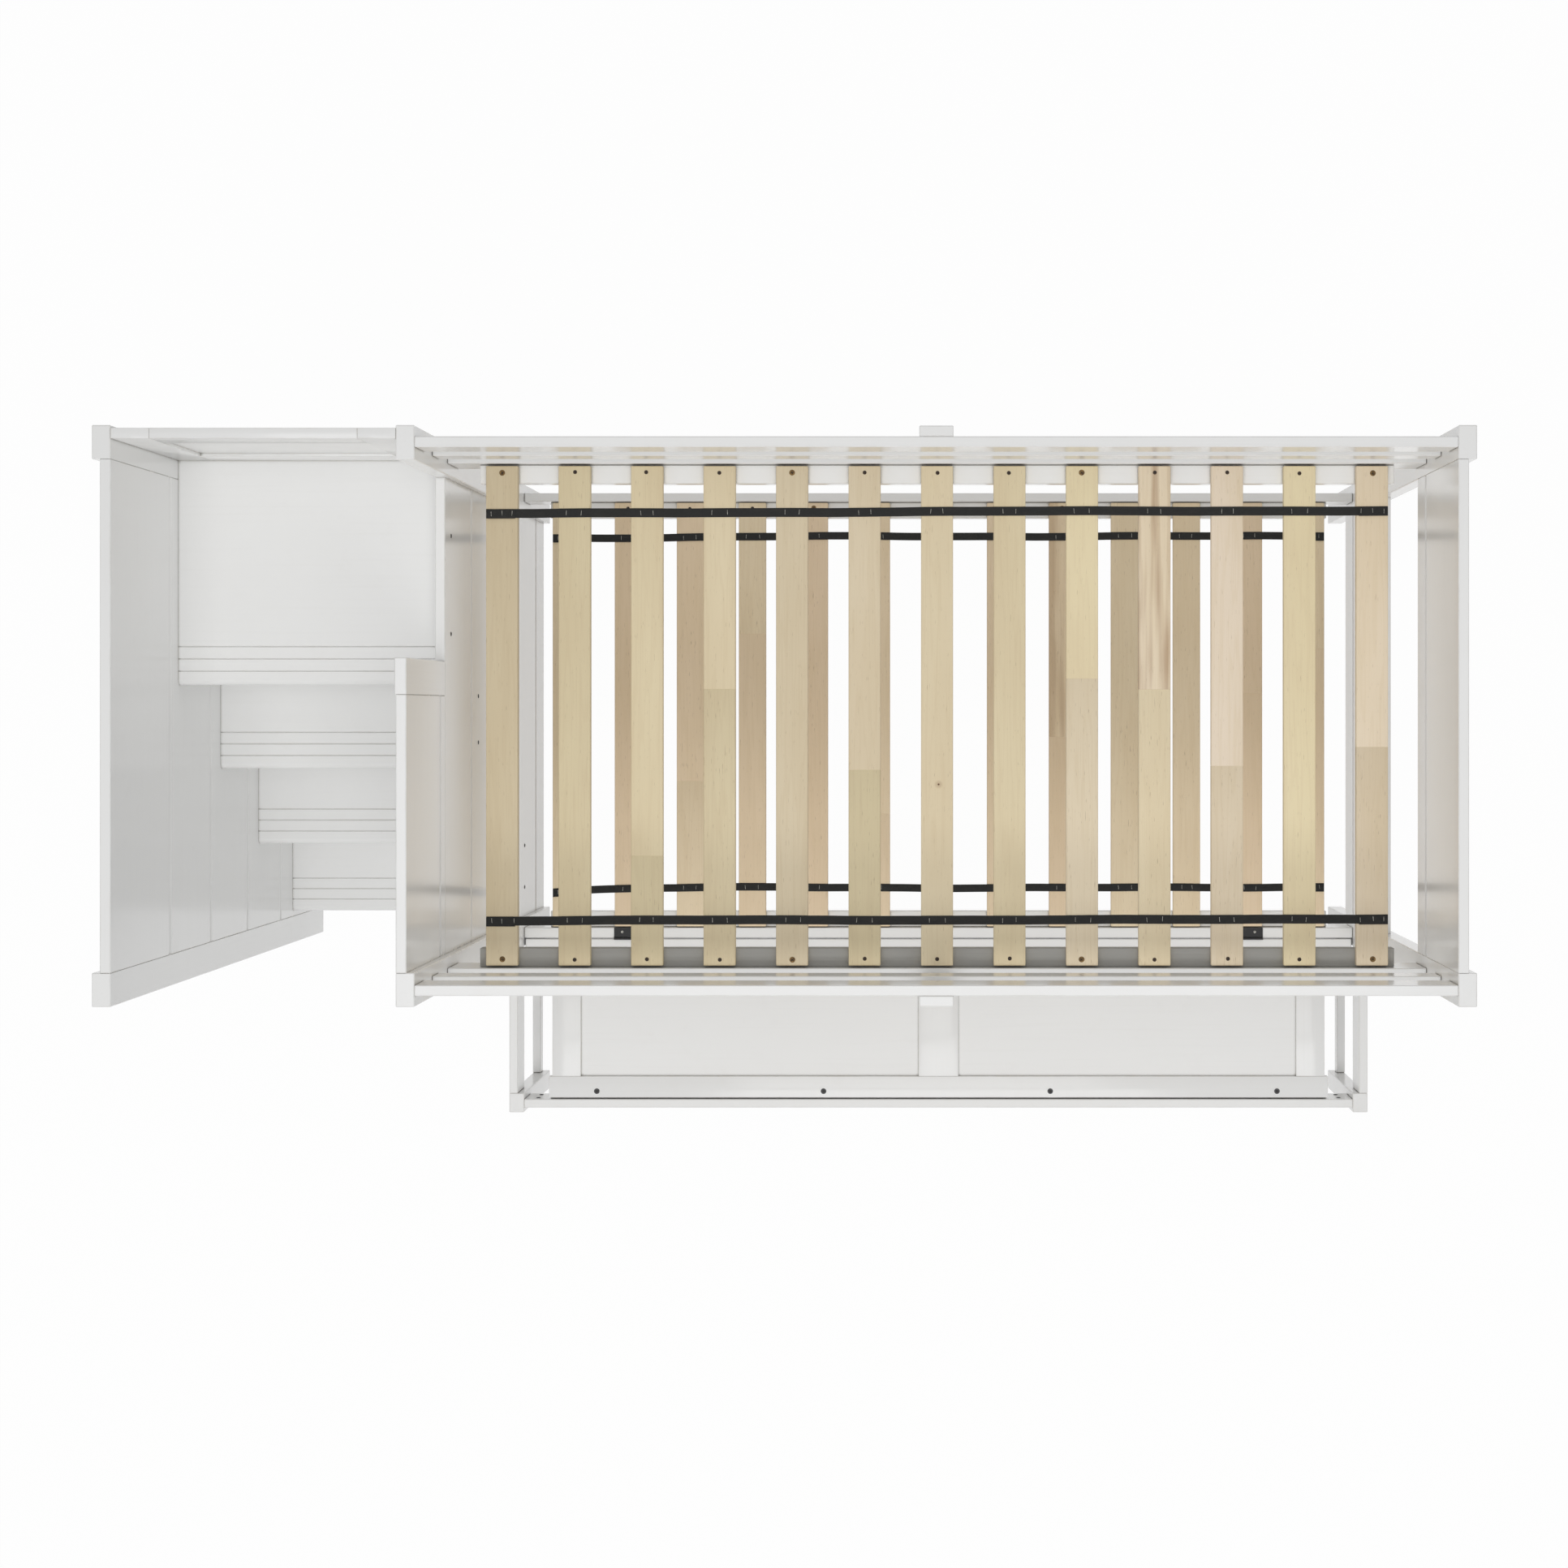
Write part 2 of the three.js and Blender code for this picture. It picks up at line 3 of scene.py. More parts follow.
import bpy
import numpy as np
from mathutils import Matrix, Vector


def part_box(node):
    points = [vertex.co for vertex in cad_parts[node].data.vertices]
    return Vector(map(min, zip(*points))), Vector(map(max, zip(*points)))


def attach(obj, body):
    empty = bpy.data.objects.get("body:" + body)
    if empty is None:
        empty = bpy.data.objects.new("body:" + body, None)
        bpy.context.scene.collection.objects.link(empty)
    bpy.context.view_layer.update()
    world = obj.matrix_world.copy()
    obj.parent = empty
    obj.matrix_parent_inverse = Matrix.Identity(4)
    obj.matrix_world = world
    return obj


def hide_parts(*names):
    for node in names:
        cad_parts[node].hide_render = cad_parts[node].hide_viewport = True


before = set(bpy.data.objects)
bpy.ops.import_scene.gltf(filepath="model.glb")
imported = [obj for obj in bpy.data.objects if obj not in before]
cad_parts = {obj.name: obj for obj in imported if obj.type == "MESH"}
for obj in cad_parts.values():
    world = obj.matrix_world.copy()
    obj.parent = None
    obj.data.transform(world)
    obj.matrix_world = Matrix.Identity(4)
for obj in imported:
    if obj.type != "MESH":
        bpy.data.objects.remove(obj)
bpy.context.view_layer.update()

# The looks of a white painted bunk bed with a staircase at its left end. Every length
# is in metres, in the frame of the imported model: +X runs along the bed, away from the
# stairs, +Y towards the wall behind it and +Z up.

dice = np.random.default_rng(13)
MM = 0.001

SLAT_COUNT = 13
STRAP_THICKNESS = 1.6 * MM
LOWER_FRONT_STRAP_INSET = 92 * MM
LOWER_BACK_STRAP_INSET = 80 * MM
STRAP_WIDTH = 18 * MM
JOINT_HALF_WIDTH = 0.5 * MM
JOINT_DIP = 0.35 * MM


# ------------------------------------------------------------------------ shape tools


def bar_rings(axis, low, high, radius, steps=2, joints=()):
    """A board with every edge rounded: a rectangle with round corners, carried along the
    axis. Near both ends it shrinks along a quarter circle, and at each joint it dips by a
    hair, where two lengths are glued end to end."""
    low = np.array(low, float)
    high = np.array(high, float)
    across, up = (axis + 1) % 3, (axis + 2) % 3
    quarter = np.linspace(0, math.pi / 2, steps + 1)
    ends_at = radius * (1 - np.cos(quarter))
    ends_in = radius * (1 - np.sin(quarter))
    middle_at = [at + side * JOINT_HALF_WIDTH for at in sorted(joints) for side in (-1, 0, 1)]
    middle_in = [JOINT_DIP * (side == 0) for _ in joints for side in (-1, 0, 1)]
    stations = np.concatenate([low[axis] + ends_at, middle_at, high[axis] - ends_at[::-1]])
    insets = np.concatenate([ends_in, middle_in, ends_in[::-1]])[:, None]
    corner = np.repeat(np.arange(4), steps + 1)
    angle = corner * math.pi / 2 + np.tile(quarter, 4)
    sign_across = np.where((corner == 0) | (corner == 3), 1, -1)
    sign_up = np.where(corner < 2, 1, -1)
    turn = np.maximum(radius - insets, radius / 4)
    half = (high - low) / 2
    middle = (high + low) / 2
    rings = np.empty((len(stations), len(angle), 3))
    rings[..., axis] = stations[:, None]
    rings[..., across] = (
        middle[across] + sign_across * (half[across] - insets - turn) + turn * np.cos(angle)
    )
    rings[..., up] = middle[up] + sign_up * (half[up] - insets - turn) + turn * np.sin(angle)
    return rings


def head_rings(place, axis, facing, radius, recess, turn, rise=1.0 * MM):
    """The head of a screw or bolt: circles round its middle, first widening up out of the
    wood, then narrowing across the top. The top sinks inside a cross, where the nearer of
    the two arms' lines is close, or inside a hexagon, where all three of its widths are
    small. Each corner also keeps how far it is sunk, from 0 to 1."""
    # Each circle's share of the radius, and its height over the wood.
    share = np.array([0.55, 0.96, 1, 0.94, 0.8, 0.66, 0.56, 0.48, 0.38, 0.26, 0.14, 0.05])
    height = np.array([-1.6 * MM, -0.2 * MM, rise * 0.4, rise * 0.85] + [rise] * 8)
    angle = np.linspace(0, 2 * math.pi, 24, endpoint=False)
    spoke = radius * share[:, None]
    x = spoke * np.cos(angle)
    y = spoke * np.sin(angle)
    if recess == "cross":
        near = np.minimum(abs(x), abs(y))
        inside = np.clip((0.17 * radius - near) / (0.05 * radius), 0, 1)
        inside = inside * np.clip((0.62 * radius - spoke) / (0.08 * radius), 0, 1)
    else:
        third = math.pi / 3
        widths = [abs(x * math.cos(a) + y * math.sin(a)) for a in (0, third, -third)]
        inside = np.clip((0.5 * radius - np.max(widths, axis=0)) / (0.06 * radius), 0, 1)
    sunk = inside * (share[:, None] < 0.9) * (height[:, None] == rise)
    top = height[:, None] - sunk * 0.8 * rise
    rings = np.empty((len(share), len(angle), 3))
    across, up = (axis + 1) % 3, (axis + 2) % 3
    rings[..., across] = place[across] + x * math.cos(turn) - y * math.sin(turn)
    rings[..., up] = place[up] + x * math.sin(turn) + y * math.cos(turn)
    rings[..., axis] = place[axis] + facing * top
    return rings, {"sunk": sunk}


class Piece:
    """Closed bodies gathered into one mesh, with numbers kept at its corners."""

    def __init__(self):
        self.corners = []
        self.faces = []
        self.finish_of_face = []
        self.numbers = {}
        self.total = 0

    def add(self, rings, finish=0, **numbers):
        """Joins neighbouring rings with faces of four corners and closes both ends with one
        face each. The rings are turned round if they would put the faces inside out."""
        count, around, _ = rings.shape
        widest = max(1, min(count - 1, count // 2))
        ring = rings[widest] - rings[widest].mean(0)
        area = np.cross(ring, np.roll(ring, -1, axis=0)).sum(0)
        sideways = rings[widest].mean(0) - rings[widest - 1].mean(0)
        if np.linalg.norm(sideways) < 1e-9:
            sideways = rings[1].mean(0) - rings[0].mean(0)
        if area @ sideways < 0:
            rings = rings[:, ::-1]
            numbers = {k: v[:, ::-1] if np.ndim(v) == 2 else v for k, v in numbers.items()}
        first = np.arange(around)
        then = np.roll(first, -1)
        row = np.arange(count - 1)[:, None] * around + self.total
        sides = np.stack([row + first, row + then, row + around + then, row + around + first], -1)
        self.faces += sides.reshape(-1, 4).tolist()
        self.faces.append((first[::-1] + self.total).tolist())
        self.faces.append((first + self.total + (count - 1) * around).tolist())
        self.finish_of_face += [finish] * (len(self.faces) - len(self.finish_of_face))
        self.corners.append(rings.reshape(-1, 3))
        for name, value in numbers.items():
            spread = np.broadcast_to(value, (count, around)).reshape(-1)
            self.numbers.setdefault(name, []).append(spread)
        self.total += count * around

    def make(self, name, body, finishes, replaces=()):
        """The Blender object, riding on its body and standing for the CAD nodes named."""
        mesh = bpy.data.meshes.new(name)
        mesh.from_pydata(np.concatenate(self.corners).tolist(), [], self.faces)
        for label, parts in self.numbers.items():
            attribute = mesh.attributes.new(label, "FLOAT", "POINT")
            attribute.data.foreach_set("value", np.concatenate(parts).astype(np.float32))
        for finish in finishes:
            mesh.materials.append(finish)
        mesh.polygons.foreach_set("material_index", self.finish_of_face)
        mesh.shade_smooth()
        mesh.set_sharp_from_angle(angle=math.radians(38))
        mesh.update()
        made = bpy.data.objects.new(name, mesh)
        bpy.context.scene.collection.objects.link(made)
        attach(made, body)
        if replaces:
            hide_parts(*replaces)
        return made


# ----------------------------------------------------------------------- shader tools


class Amount:
    """A number that varies over a surface. Each operator adds a Math node to its finish."""

    def __init__(self, finish, socket):
        self.finish = finish
        self.socket = socket

    def __add__(self, other):
        return self.finish.maths("ADD", self, other)

    def __sub__(self, other):
        return self.finish.maths("SUBTRACT", self, other)

    def __rsub__(self, other):
        return self.finish.maths("SUBTRACT", other, self)

    def __mul__(self, other):
        return self.finish.maths("MULTIPLY", self, other)

    __radd__ = __add__
    __rmul__ = __mul__


class Finish:
    """The nodes of one material, or of the world. node() adds any node, and the other
    methods are short ways to call it."""

    def __init__(self, owner):
        owner.use_nodes = True
        self.owner = owner
        self.tree = owner.node_tree
        self.tree.nodes.clear()

    def node(self, kind, settings=None, inputs=None, output=0):
        """A node of that kind: its settings first, then its sockets' values or links."""
        made = self.tree.nodes.new(kind)
        for setting, value in (settings or {}).items():
            setattr(made, setting, value)
        for socket, value in (inputs or {}).items():
            if isinstance(value, Amount):
                self.tree.links.new(value.socket, made.inputs[socket])
            else:
                made.inputs[socket].default_value = value
        return Amount(self, made.outputs[output]) if made.outputs else None

    def maths(self, operation, *values):
        return self.node("ShaderNodeMath", {"operation": operation}, dict(enumerate(values)))

    def vectors(self, operation, first, second, output=0):
        settings = {"operation": operation}
        return self.node("ShaderNodeVectorMath", settings, {0: first, 1: second}, output)

    def places(self):
        return self.node("ShaderNodeTexCoord", output="Object")

    def kept(self, name):
        return self.node("ShaderNodeAttribute", {"attribute_name": name}, output="Fac")

    def noise(self, place, sizes, detail=2.0, roughness=0.5):
        """Soft random patches, with that many of them to the metre along X, Y and Z."""
        stretched = self.vectors("MULTIPLY", place, sizes)
        inputs = {"Vector": stretched, "Scale": 1.0, "Detail": detail, "Roughness": roughness}
        return self.node("ShaderNodeTexNoise", None, inputs)

    def room(self, reach, inside=False):
        """How open the space round a point is: 1 on a flat face, less in a corner, or less
        near an outer edge when it looks inside the piece."""
        settings = {"samples": 4, "inside": inside}
        return self.node("ShaderNodeAmbientOcclusion", settings, {"Distance": reach}, "AO")

    def step(self, value, low, high):
        """0 below low, 1 above high and a smooth rise between them."""
        inputs = {"Value": value, "From Min": low, "From Max": high}
        return self.node("ShaderNodeMapRange", {"interpolation_type": "SMOOTHSTEP"}, inputs)

    def mixed(self, share, first, second):
        return self.node("ShaderNodeMix", {"data_type": "RGBA"}, {0: share, 6: first, 7: second}, 2)

    def done(self, colour, roughness, height, depth, **constants):
        """The shader. A height of 1 stands that depth proud of a height of 0."""
        normal = self.node("ShaderNodeBump", None, {"Height": height, "Distance": depth})
        inputs = {"Base Color": colour, "Roughness": roughness, "Normal": normal}
        inputs.update({k.replace("_", " "): v for k, v in constants.items()})
        shader = self.node("ShaderNodeBsdfPrincipled", None, inputs)
        self.node("ShaderNodeOutputMaterial", None, {"Surface": shader})
        return self.owner


def colour(red, green, blue):
    """A screen colour, 0 to 255, as the linear light that a shader works in."""
    shares = np.array([red, green, blue]) / 255
    linear = np.where(shares <= 0.04045, shares / 12.92, ((shares + 0.055) / 1.055) ** 2.4)
    return (*linear.tolist(), 1.0)


# --------------------------------------------------------------------------- finishes


def white_paint(name, axis):
    """Glossy white lacquer on wood: wood fibres that just show along the axis, a fine
    orange peel, slow changes in whiteness and gloss, painted shade in seams, grooves and
    where parts meet, and edges where the lacquer is thin and rubbed."""
    finish = Finish(bpy.data.materials.new(name))
    place = finish.places()
    along = [160.0, 160.0, 160.0]
    along[axis] = 3.0
    fibres = finish.noise(place, along, 3.0)
    peel = finish.noise(place, (230.0, 230.0, 230.0), 1.0)
    cloud = finish.noise(place, (2.6, 2.6, 2.6), 2.0)
    rub = finish.noise(place, (17.0, 17.0, 17.0), 4.0, 0.6)
    white = finish.mixed(cloud, colour(244, 244, 243), colour(248, 248, 247))
    white = finish.mixed(finish.step(rub, 0.55, 0.85) * 0.35, white, colour(240, 239, 237))
    white = finish.mixed(finish.step(fibres, 0.5, 0.75) * 0.15, white, colour(238, 237, 235))
    # Painted shade: the white turns grey where little space is open round a point, in seams, grooves
    # and along the lines where parts meet.
    painted_crease_shade = 1 - finish.step(finish.room(7 * MM), 0.25, 0.85)
    white = finish.mixed(painted_crease_shade, white, colour(158, 156, 152))
    edge = 1 - finish.step(finish.room(2.5 * MM, inside=True), 0.7, 0.97)
    worn = edge * finish.step(rub, 0.35, 0.65)
    white = finish.mixed(worn * 0.45, white, colour(214, 209, 199))
    gloss = 0.1 + cloud * 0.06 + rub * 0.05 + worn * 0.15
    return finish.done(white, gloss, fibres * 0.7 + peel * 0.3, 0.025 * MM, IOR=1.5)


def plain_grey(name):
    """Plain grey along X: the wood's fibres show through it, and it is lighter in long
    streaks. It makes the front ledger grey, and what makes that grey isn't known."""
    finish = Finish(bpy.data.materials.new(name))
    place = finish.places()
    fibres = finish.noise(place, (4.0, 220.0, 220.0), 3.0)
    streaks = finish.noise(place, (1.5, 60.0, 60.0), 2.0)
    grey = finish.mixed(streaks, colour(158, 157, 153), colour(170, 169, 165))
    grey = finish.mixed(finish.step(fibres, 0.5, 0.75) * 0.3, grey, colour(146, 144, 140))
    return finish.done(grey, 0.55 + fibres * 0.2, fibres, 0.05 * MM)


def slat_wood(name, pale, pink, line, knots):
    """Pale bare wood. Each glued length has its own darkening, partly its own colour and
    partly painted shade, and its own piece of the grain: fibres and pores that run with the
    slat, broad wavy figure, a brown streak in some lengths, and round knots."""
    finish = Finish(bpy.data.materials.new(name))
    place = finish.places()
    board = finish.kept("board")
    inputs = {"X": board * 0.37, "Y": board * 1.93, "Z": board * 0.23}
    own = finish.vectors("ADD", place, finish.node("ShaderNodeCombineXYZ", None, inputs))
    fibres = finish.noise(own, (520.0, 6.0, 520.0), 3.0, 0.6)
    figure = finish.noise(own, (34.0, 1.6, 34.0), 3.0)
    swirl = finish.noise(own, (9.0, 2.2, 9.0), 2.0)
    pores = finish.noise(own, (700.0, 45.0, 700.0), 1.0)
    rings = finish.maths("SINE", figure * 44.0 + swirl * 9.0)
    wood = finish.mixed(finish.kept("blush"), pale, pink)
    wood = finish.mixed(finish.step(swirl, 0.3, 0.75) * 0.4, wood, line)
    wood = finish.mixed(finish.step(rings, 0.2, 1.0) * 0.16, wood, line)
    wood = finish.mixed(finish.step(fibres, 0.52, 0.75) * 0.3, wood, line)
    wood = finish.mixed(finish.step(pores, 0.68, 0.78) * 0.4, wood, colour(150, 120, 82))
    brown = colour(158, 116, 74)
    stain = finish.step(figure * 0.6 + swirl * 0.4, 0.5, 0.62) * finish.kept("streak")
    wood = finish.mixed(stain * 0.6, wood, brown)
    for x, y, radius in knots:
        in_plan = finish.vectors("MULTIPLY", place, (1, 1, 0))
        away = finish.vectors("DISTANCE", in_plan, (x, y, 0), "Value")
        wood = finish.mixed((1 - finish.step(away, radius, radius * 4)) * 0.35, wood, brown)
        wood = finish.mixed(1 - finish.step(away, radius * 0.5, radius), wood, colour(92, 62, 36))
    # The kept number darkens each length towards brown: its own colour, and on the upper slats
    # painted shade as well.
    shade = finish.kept("tone")
    wood = finish.mixed(shade, wood, colour(128, 108, 78))
    rough = 0.5 + fibres * 0.18
    height = fibres * 0.6 + rings * 0.05 - finish.step(pores, 0.66, 0.8) * 0.5
    return finish.done(wood, rough, height, 0.12 * MM)


RIB_PITCH = 1.5 * MM
WEFT_PITCH = 1.9 * MM


def woven_webbing(name):
    """Black woven webbing: fine ribs along it, crossed by the weft, which goes over
    one rib and under the next, with a denser edge on each side."""
    finish = Finish(bpy.data.materials.new(name))
    along = finish.kept("along")
    across = finish.kept("across")
    rib = finish.maths("SINE", across * (2 * math.pi / RIB_PITCH))
    weft = finish.maths("SINE", along * (2 * math.pi / WEFT_PITCH) + rib * 0.9)
    height = rib * weft * 0.5 + 0.5
    fluff = finish.noise(finish.places(), (900.0, 900.0, 900.0), 2.0)
    dust = finish.noise(finish.places(), (24.0, 60.0, 24.0), 3.0, 0.6)
    black = finish.mixed(height * 0.7, colour(20, 20, 19), colour(38, 38, 36))
    black = finish.mixed(finish.step(dust, 0.5, 0.8) * 0.25, black, colour(56, 55, 52))
    edge = finish.step(finish.maths("ABSOLUTE", across), 7.4 * MM, 8.4 * MM)
    black = finish.mixed(edge * 0.5, black, colour(24, 24, 23))
    return finish.done(black, 0.72 + fluff * 0.2, height + fluff * 0.3, 0.25 * MM)


def black_steel(name):
    """Black baked coating on pressed steel, with a fine grain, and rubbed patches that show
    the grey steel."""
    finish = Finish(bpy.data.materials.new(name))
    place = finish.places()
    grain = finish.noise(place, (1500.0, 1500.0, 1500.0), 2.0)
    rub = finish.noise(place, (70.0, 240.0, 240.0), 4.0, 0.65)
    worn = finish.step(rub, 0.62, 0.74)
    black = finish.mixed(grain, colour(24, 24, 25), colour(38, 38, 39))
    black = finish.mixed(worn * 0.4, black, colour(96, 96, 98))
    return finish.done(black, 0.36 + grain * 0.2 - worn * 0.1, grain, 0.04 * MM, Metallic=0.35)


def plated_steel(name, light, dark, metallic):
    """Plated steel screws, bolts and staples: streaks from the tumbling drum, darker marks, and
    painted shade where the head is sunk."""
    finish = Finish(bpy.data.materials.new(name))
    place = finish.places()
    grain = finish.noise(place, (1900.0, 700.0, 1900.0), 3.0)
    marks = finish.noise(place, (260.0, 260.0, 260.0), 3.0)
    metal = finish.mixed(finish.step(marks, 0.35, 0.7), light, dark)
    metal = finish.mixed(finish.step(grain, 0.5, 0.8) * 0.4, metal, dark)
    # Painted shade: the sunk cross or hexagon of a head is darkened nearly to black.
    metal = finish.mixed(finish.kept("sunk") * 0.8, metal, colour(20, 17, 14))
    return finish.done(metal, 0.38 + grain * 0.25, grain, 0.03 * MM, Metallic=metallic)


paint_along = [white_paint(f"white_paint_along_{letter}", axis) for axis, letter in enumerate("xyz")]
plain_grey_finish = plain_grey("plain_grey")
webbing_finish = woven_webbing("black_webbing")
steel_finish = black_steel("black_steel")
brass_finish = plated_steel("yellow_zinc", colour(136, 106, 60), colour(82, 60, 32), 0.3)
dark_finish = plated_steel("bronzed_zinc", colour(72, 52, 34), colour(38, 28, 19), 0.1)
bolt_finish = plated_steel("dark_nickel", colour(78, 78, 80), colour(48, 48, 50), 0.2)
staple_finish = plated_steel("bright_zinc", colour(214, 212, 204), colour(150, 148, 140), 0.6)


# ------------------------------------------------------------- finishes on the CAD nodes

# Walls and guards whose planks run across the bed, whichever side of the node is longest.
ACROSS = ["left_wall", "left_guard", "right_end_guard", "lower_end_panel", "stair_side_wall"]
# The front ledger is made plain grey. What makes its grey isn't known.
GREY_LEDGER = "upper_front_ledger"

for name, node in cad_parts.items():
    low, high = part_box(name)
    longest = int(np.argmax(np.array(high) - np.array(low)))
    finish = paint_along[1 if name in ACROSS else longest]
    if "hinge" in name:
        finish = steel_finish
    if name == GREY_LEDGER:
        finish = plain_grey_finish
    for holder in node.material_slots:
        holder.material = finish


# ------------------------------------------------------------------------------- slats


# For each upper slat, counted from the stairs: where its lengths are glued end to end,
# as a share from its back end, then the shade and the blush of its back and front length.
# The shades are partly each length's own colour and partly painted shade: they follow how bright
# each length looks when lit, so the front lengths, in the front guard's shade, mostly get more.
UPPER_LENGTHS = [
    (None, 0.28, 0.25, 0.28, 0.25),
    (None, 0.20, 0.05, 0.20, 0.05),
    (0.78, 0.12, 0.10, 0.20, 0.00),
    (0.446, 0.12, 0.20, 0.16, 0.10),
    (None, 0.20, 0.35, 0.20, 0.35),
    (0.608, 0.16, 0.40, 0.24, 0.00),
    (None, 0.10, 0.25, 0.10, 0.25),
    (None, 0.12, 0.10, 0.12, 0.10),
    (0.425, 0.04, 0.00, 0.06, 0.45),
    (0.447, 0.00, 0.60, 0.00, 0.25),
    (0.60, 0.02, 0.75, 0.05, 0.55),
    (None, 0.03, 0.00, 0.03, 0.00),
    (0.562, 0.02, 0.65, 0.10, 0.60),
]
STREAKED_SLAT = 10
KNOTTY_SLAT = 7
KNOT_SHARE = 0.637
KNOT_RADIUS = 2.6 * MM
SLAT_EASE = 2.2 * MM
STREAKED_LOWER_SLAT = 9


def slat_rings(piece, low, high, joint_share, back, front, streak, board):
    """Adds one slat to the piece. A back length and a front length have their own numbers:
    shade, blush, streak and board."""
    joints = [] if joint_share is None else [high[1] - joint_share * (high[1] - low[1])]
    rings = bar_rings(1, low, high, SLAT_EASE, 3, joints)
    in_front = rings[..., 1] < (joints[0] if joints else -math.inf)
    piece.add(
        rings,
        tone=np.where(in_front, front[0], back[0]),
        blush=np.where(in_front, front[1], back[1]),
        streak=np.where(in_front, 0, streak),
        board=np.where(in_front, board + 0.5, board),
    )


upper_boxes = [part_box(f"upper_slat_{i + 1}") for i in range(SLAT_COUNT)]
knotty_low, knotty_high = upper_boxes[KNOTTY_SLAT - 1]
knot = (
    knotty_low.x * 0.45 + knotty_high.x * 0.55,
    knotty_high.y - KNOT_SHARE * (knotty_high.y - knotty_low.y),
    KNOT_RADIUS,
)
upper_wood = slat_wood(
    "upper_slat_wood", colour(247, 232, 192), colour(245, 228, 211), colour(226, 205, 167), [knot]
)
# Painted light: the lower slats get paler colours than the upper ones, to offset the shade that the
# upper deck casts on them.
lower_wood_painted_paler = slat_wood(
    "lower_slat_wood_painted_light", colour(252, 236, 202), colour(248, 222, 190), colour(232, 208, 168), []
)

for i, (low, high) in enumerate(upper_boxes):
    share, back_shade, back_blush, front_shade, front_blush = UPPER_LENGTHS[i]
    slat = Piece()
    slat_rings(
        slat,
        low,
        high,
        share,
        (back_shade, back_blush),
        (front_shade, front_blush),
        1.0 if i + 1 == STREAKED_SLAT else 0.0,
        i + 1.0,
    )
    replaced = [f"upper_slat_{i + 1}"]
    slat.make(f"upper_slat_board_{i + 1}", "frame", [upper_wood], replaced)

roll_low, roll_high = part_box("lower_slat_roll")
lower_top = roll_high.z - STRAP_THICKNESS
lower_boxes = []
lower_slats = Piece()
slat_width = upper_boxes[0][1].x - upper_boxes[0][0].x
lower_pitch = (roll_high.x - roll_low.x - slat_width) / (SLAT_COUNT - 1)
for i in range(SLAT_COUNT):
    lower_low = (roll_low.x + i * lower_pitch, roll_low.y, roll_low.z)
    lower_high = (lower_low[0] + slat_width, roll_high.y, lower_top)
    lower_boxes.append((lower_low, lower_high))
    share = float(dice.uniform(0.25, 0.75)) if dice.random() < 0.6 else None
    shades = dice.uniform(0.0, 0.05, 2)
    blushes = dice.uniform(0.0, 0.8, 2)
    slat_rings(
        lower_slats,
        lower_low,
        lower_high,
        share,
        (shades[0], blushes[0]),
        (shades[1], blushes[1]),
        0.6 if i + 1 == STREAKED_LOWER_SLAT else 0.0,
        30.0 + i,
    )
lower_slats.make("lower_slat_boards", "frame", [lower_wood_painted_paler], ["lower_slat_roll"])


# ------------------------------------------------------------------------------ straps


STRAP_STEP = 6 * MM
STRAP_SAG = 2.5 * MM
STRAP_FOLD = 58 * MM
PULL_FADES_OVER = 0.12  # of the bed's length, in metres
STAPLE_HALF_SIZE = np.array([0.35, 4.8, 0.25]) * MM
STAPLE_EDGE = 0.2 * MM


def strap_rings(start, end, line, slats, top, sag, lift=0.0):
    """A flat strap with rounded edges, carried along X over the slats. On a slat it lies at
    the height of the slat's top, and over each gap it hangs by half a sine wave. All of it is
    raised by the lift. In plan it follows the line, which gives y for each x."""
    step = (end - start) / round((end - start) / STRAP_STEP)
    x = np.arange(start, end + 1e-6, step)
    edges = np.array([[low[0], high[0]] for low, high in slats])
    before = np.clip(np.searchsorted(edges[:, 0], x, "right") - 1, 0, len(edges) - 2)
    gap = (x - edges[before, 1]) / (edges[before + 1, 0] - edges[before, 1])
    hang = sag * np.sin(np.pi * np.clip(gap, 0, 1))
    corner = np.repeat(np.arange(4), 3)
    angle = corner * math.pi / 2 + np.tile(np.linspace(0, math.pi / 2, 3), 4)
    side = np.where((corner == 0) | (corner == 3), 1, -1)
    up = np.where(corner < 2, 1, -1)
    turn = STRAP_THICKNESS * 0.4
    across = side * (STRAP_WIDTH / 2 - turn) + turn * np.cos(angle)
    above = STRAP_THICKNESS / 2 + up * (STRAP_THICKNESS / 2 - turn) + turn * np.sin(angle)
    rings = np.empty((len(x), len(angle), 3))
    rings[..., 0] = x[:, None]
    rings[..., 1] = line(x)[:, None] + across
    rings[..., 2] = (top + lift - hang)[:, None] + above
    return rings, {"along": x[:, None] + 0 * angle, "across": across + 0 * x[:, None]}


